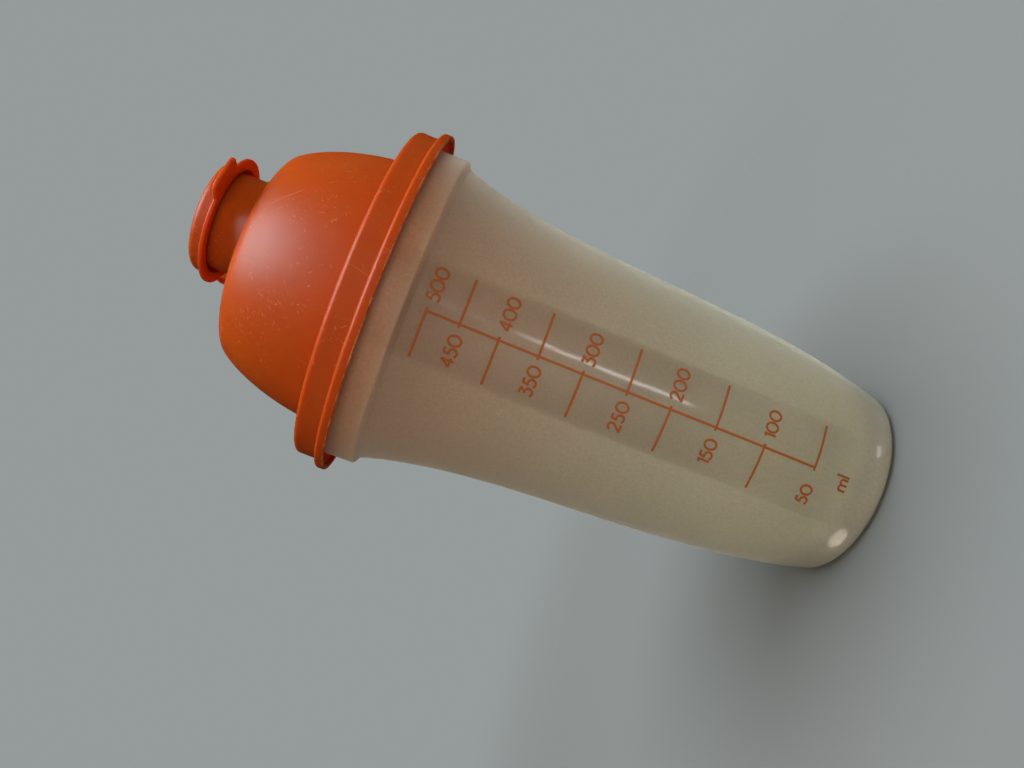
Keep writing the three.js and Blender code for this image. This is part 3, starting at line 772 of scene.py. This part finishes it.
def make_cap():
    stopper = BORE_RADIUS - STOPPER_GAP
    stopper_inside = stopper - STOPPER_WALL
    stopper_bottom = ROOF_UNDERSIDE - STOPPER_DEPTH
    shell = turned([
        (0, CAP_TOP), (CAP_RADIUS, CAP_TOP, CAP_ROUND), (CAP_RADIUS, FLANGE_TOP, SMALL_ROUND),
        (FLANGE_RADIUS, FLANGE_TOP, SMALL_ROUND), (FLANGE_RADIUS, FLANGE_BOTTOM, SMALL_ROUND),
        (CAP_INSIDE, FLANGE_BOTTOM, SMALL_ROUND), (CAP_INSIDE, ROOF_UNDERSIDE, SMALL_ROUND),
        (stopper, ROOF_UNDERSIDE), (stopper - STOPPER_TAPER, stopper_bottom),
        (stopper_inside, stopper_bottom), (stopper_inside, ROOF_UNDERSIDE), (0, ROOF_UNDERSIDE),
    ], SPOUT_STEPS, SPOUT_X)
    tab_root = (CAP_INSIDE + CAP_RADIUS) / 2
    tab_end = FLANGE_RADIUS + TAB_OUT
    tab = slab([(tab_root, -TAB_HALF_WIDTH), (tab_end, -TAB_HALF_WIDTH, TAB_ROUND),
                (tab_end, TAB_HALF_WIDTH, TAB_ROUND), (tab_root, TAB_HALF_WIDTH)], TAB_THICK, SMALL_ROUND)
    bmesh.ops.rotate(tab, verts=tab.verts, cent=(0, 0, 0), matrix=Matrix.Rotation(math.pi / 2, 3, "X"))
    bmesh.ops.translate(tab, verts=tab.verts, vec=(SPOUT_X * MM, 0, FLANGE_BOTTOM * MM))
    leaf_end = SPOUT_X - CAP_RADIUS
    leaf = slab([(HINGE_X, FLANGE_BOTTOM), (leaf_end, FLANGE_BOTTOM), (leaf_end, FLANGE_TOP),
                 (HINGE_X, FLANGE_TOP)], 2 * KNUCKLE_HALF, LEAF_EDGE)
    bmesh.ops.translate(leaf, verts=leaf.verts, vec=(0, -KNUCKLE_HALF * MM, 0))
    stub_half = POST_INNER + POST_THICK - SLIP
    made = joined("flip_cap_shell", shell, [
        ("UNION", tab), ("UNION", leaf),
        ("UNION", rod(KNUCKLE_RADIUS, KNUCKLE_HALF)), ("UNION", rod(STUB_RADIUS, stub_half, STUB_STEPS)),
    ], ORANGE)
    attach(made, "flip_cap")
    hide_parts("flip_cap")


# Mixing grid

def make_ring(radius, wall, height):
    """A ring of the grid, measured to its outside."""
    top = GRID_BOTTOM + height
    return turned([
        (radius - wall, GRID_BOTTOM, GRID_BAR_ROUND), (radius, GRID_BOTTOM, GRID_BAR_ROUND),
        (radius, top, SMALL_ROUND), (radius - wall, top, SMALL_ROUND),
    ], SPOUT_STEPS, closed=True)


def make_spoke(number):
    """A spoke from the hub into the rim."""
    start = GRID_HUB_RADIUS - GRID_BAR
    end = GRID_RADIUS - GRID_RIM_WALL / 2
    top = GRID_BOTTOM + GRID_BAR_HEIGHT
    bm = slab([(start, GRID_BOTTOM), (end, GRID_BOTTOM), (end, top), (start, top)], GRID_BAR, BAR_EDGE)
    bmesh.ops.translate(bm, verts=bm.verts, vec=(0, -GRID_BAR / 2 * MM, 0))
    bmesh.ops.rotate(bm, verts=bm.verts, cent=(0, 0, 0),
                     matrix=Matrix.Rotation(math.tau * number / GRID_SPOKES, 3, "Z"))
    return bm


def make_grid():
    rim_inside = GRID_RADIUS - GRID_RIM_WALL
    rim = turned([
        (rim_inside, GRID_BOTTOM), (GRID_RADIUS - EDGE_ROUND, GRID_BOTTOM),
        (GRID_RADIUS, GRID_BOTTOM + EDGE_ROUND), (GRID_RADIUS, GRID_TOP, SMALL_ROUND),
        (rim_inside, GRID_TOP, SMALL_ROUND),
    ], TURN_STEPS, closed=True)
    pitch = (GRID_RADIUS - GRID_HUB_RADIUS) / (GRID_RINGS + 1)
    bars = [make_ring(round(GRID_HUB_RADIUS + k * pitch, 2), GRID_BAR, GRID_BAR_HEIGHT)
            for k in range(GRID_RINGS, 0, -1)]
    bars.append(make_ring(GRID_HUB_RADIUS, 2 * GRID_BAR, GRID_HUB_HEIGHT))
    bars += [make_spoke(k) for k in range(GRID_SPOKES)]
    made = joined("mixing_grid_ring", rim, [("UNION", bar) for bar in bars], ORANGE)
    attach(made, "mixing_grid")
    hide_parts("mixing_grid")


# Stage: a pale floor that fades into a pale surround, soft light from above, and the camera. Metres.

PALE = colour("#959b9a")
FLOOR_COLOUR = colour("#7d7d77")
FLOOR_RADIUS = 0.9
FLOOR_STEPS = 96
FLOOR_FADE = (120.0, 500.0)       # millimetres from the shaker's axis
SOFT_LIGHT = colour("#f4f6f8")
SOFT_STRENGTH = 0.2

# Place, size, power in watts and tint of each lamp
LAMPS = {
    "overhead": ((0.15, 0.03, 0.86), (0.56, 0.56), 8.6, "#e2edff"),
    "window": ((0.28, -0.06, 0.82), (0.56, 0.56), 6.4, "#b4f0ff"),
    "sky": ((0.1, 0.1, 1.5), (1.6, 1.6), 5.5, "#ffffff"),
    "front": ((0.87, -0.44, 0.25), (0.7, 0.7), 4.7, "#fff4e6"),
    "side": ((0.0, 0.75, 0.35), (0.5, 0.5), 2.4, "#d2f4ff"),
    "back": ((-0.75, 0.3, 0.35), (0.7, 0.7), 2.2, "#ffffff"),
    "strip": ((0.18, -0.048, 0.033), (0.007, 0.064), 0.012, "#ffffff"),
    "glint": ((0.0135, -0.03, 0.001), (0.010, 0.004), 0.00024, "#fff2dc"),
    "spark": ((0.0322, -0.0005, 0.001), (0.005, 0.0015), 0.00004, "#ffffff"),
}
LAMP_TARGET = Vector((0, 0, 0.13))
# Only these lamps are mirrored, and they light nothing: the window as the sheen on the dome, the strip as
# the narrow bright line on the polished panel, and the glint and the spark on the polished foot.
MIRRORED = ("window", "strip", "glint", "spark")

CAMERA_AZIMUTH = 60               # degrees from the -Y side
CAMERA_PLACE = (0, -0.23586, 0.12518)
CAMERA_PAN = 2.049
CAMERA_DIP = 4.863
CAMERA_ROLL = -68.561
SENSOR_WIDTH = 36.0               # millimetres, as is the lens
LENS = 27.753
CLIP_START = 0.01


def pale_floor():
    """A plain matt floor that fades out, so that it has no edge."""
    made, tree, mm = fresh("pale_floor")
    far = add(tree, "ShaderNodeVectorMath", {0: mm}, operation="LENGTH").outputs["Value"]
    near_end, far_end = FLOOR_FADE
    fade = add(tree, "ShaderNodeMapRange", {0: far, 1: near_end, 2: far_end},
               interpolation_type="SMOOTHERSTEP").outputs[0]
    matt = add(tree, "ShaderNodeBsdfDiffuse", {"Color": FLOOR_COLOUR}).outputs[0]
    clear = add(tree, "ShaderNodeBsdfTransparent").outputs[0]
    both = add(tree, "ShaderNodeMixShader", {0: fade, 1: matt, 2: clear}).outputs[0]
    add(tree, "ShaderNodeOutputMaterial", {"Surface": both})
    return made


def make_floor():
    bm = bmesh.new()
    bmesh.ops.create_circle(bm, cap_ends=True, cap_tris=True, segments=FLOOR_STEPS, radius=FLOOR_RADIUS)
    floor = piece("floor", bm, pale_floor())
    floor.visible_glossy = False


def make_surround():
    world = bpy.data.worlds.new("surround")
    bpy.context.scene.world = world
    world.use_nodes = True
    tree = world.node_tree
    tree.nodes.clear()
    # The satin plastic mirrors the lamps only, as in a dark room.
    world.cycles_visibility.glossy = False
    path = add(tree, "ShaderNodeLightPath").outputs
    seen = add(tree, "ShaderNodeMath", {0: path["Is Camera Ray"], 1: path["Is Transmission Ray"]},
               operation="MAXIMUM").outputs[0]
    soft = add(tree, "ShaderNodeBackground", {"Color": SOFT_LIGHT, "Strength": SOFT_STRENGTH}).outputs[0]
    shown = add(tree, "ShaderNodeBackground", {"Color": PALE, "Strength": 1.0}).outputs[0]
    both = add(tree, "ShaderNodeMixShader", {0: seen, 1: soft, 2: shown}).outputs[0]
    add(tree, "ShaderNodeOutputWorld", {"Surface": both})


def make_lamps():
    for name, (place, size, power, tint) in LAMPS.items():
        lamp = bpy.data.lights.new(name, "AREA")
        lamp.shape = "RECTANGLE" if name == "strip" else "ELLIPSE"
        lamp.size, lamp.size_y = size
        lamp.energy = power
        lamp.color = colour(tint)[:3]
        holder = bpy.data.objects.new(name, lamp)
        holder.location = place
        holder.visible_camera = False
        holder.visible_glossy = name in MIRRORED
        holder.visible_diffuse = not holder.visible_glossy
        holder.visible_transmission = holder.visible_diffuse and name != "back"
        holder.rotation_euler = (LAMP_TARGET - Vector(place)).to_track_quat("-Z", "Y").to_euler()
        bpy.context.scene.collection.objects.link(holder)


def make_camera():
    """The camera looks at the shaker's side and is rolled, so that the shaker lies across the picture."""
    data = bpy.data.cameras.new("camera")
    data.sensor_width = SENSOR_WIDTH
    data.lens = LENS
    data.clip_start = CLIP_START
    camera = bpy.data.objects.new("camera", data)
    camera.matrix_world = (
        Matrix.Rotation(math.radians(CAMERA_AZIMUTH), 4, "Z") @ Matrix.Translation(CAMERA_PLACE)
        @ Matrix.Rotation(math.radians(CAMERA_PAN), 4, "Z")
        @ Matrix.Rotation(math.radians(90 - CAMERA_DIP), 4, "X")
        @ Matrix.Rotation(math.radians(CAMERA_ROLL), 4, "Z"))
    bpy.context.scene.collection.objects.link(camera)
    bpy.context.scene.camera = camera


make_beaker()
make_scale()
make_lid()
make_cap()
make_grid()
make_floor()
make_surround()
make_lamps()
make_camera()
bpy.context.scene.view_settings.view_transform = "Standard"
